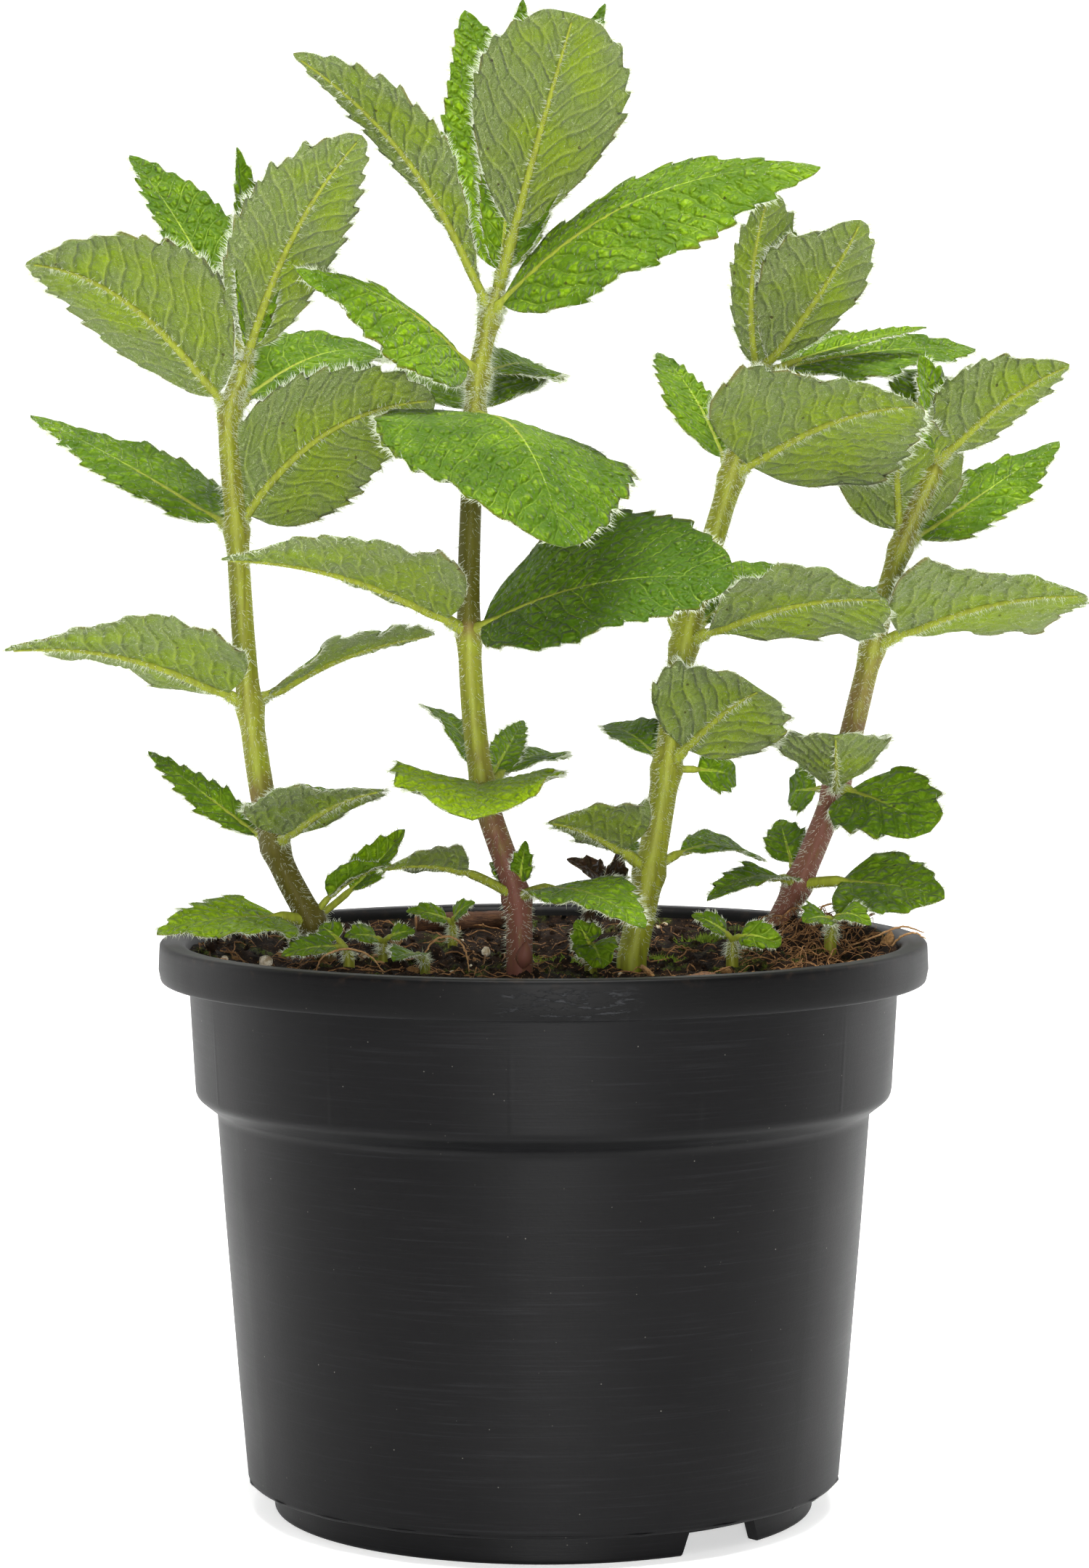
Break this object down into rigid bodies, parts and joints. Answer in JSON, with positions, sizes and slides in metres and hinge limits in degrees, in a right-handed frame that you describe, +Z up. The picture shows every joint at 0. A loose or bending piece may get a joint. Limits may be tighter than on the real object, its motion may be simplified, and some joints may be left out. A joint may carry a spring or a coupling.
{
  "type": "potted mint plant",
  "caption": "Leafy mint stems with toothed, downy leaves and young sprouts, standing in potting mix in a round black nursery pot.",
  "frame": {"origin": "centre of the pot's foot, on the surface that the pot stands on", "axes": "+Z up along the pot's axis, -Y towards the side that the picture shows, +X to that side's right"},
  "size_m": [0.1832, 0.1306, 0.2566],
  "materials": {
    "pot_plastic": "satin black moulded plastic with fine scuffs",
    "potting_mix": "dark fibrous peat and coir with pale specks",
    "mint_leaf": "quilted, downy green leaf with paler veins and a felted underside",
    "young_leaf": "soft light green young leaf",
    "withered_leaf": "dry dark brown",
    "wood": "rough brown bark and cut wood"
  },
  "bodies": {
    "root": {"pot": "pot_plastic", "potting_mix": "potting_mix", "stem_left": "mint_leaf", "stem_middle": "mint_leaf", "stem_right": "mint_leaf", "stem_far_right": "mint_leaf", "sprout_far_left": "young_leaf", "sprout_left": "young_leaf", "sprout_back": "young_leaf", "sprout_yellow": "young_leaf", "sprout_front": "young_leaf", "sprout_front_right": "young_leaf", "sprout_right": "young_leaf", "withered_shoot": "withered_leaf", "twig": "wood", "bark_chip_1": "wood", "bark_chip_2": "wood", "bark_chip_3": "wood"}
  },
  "joints": []
}
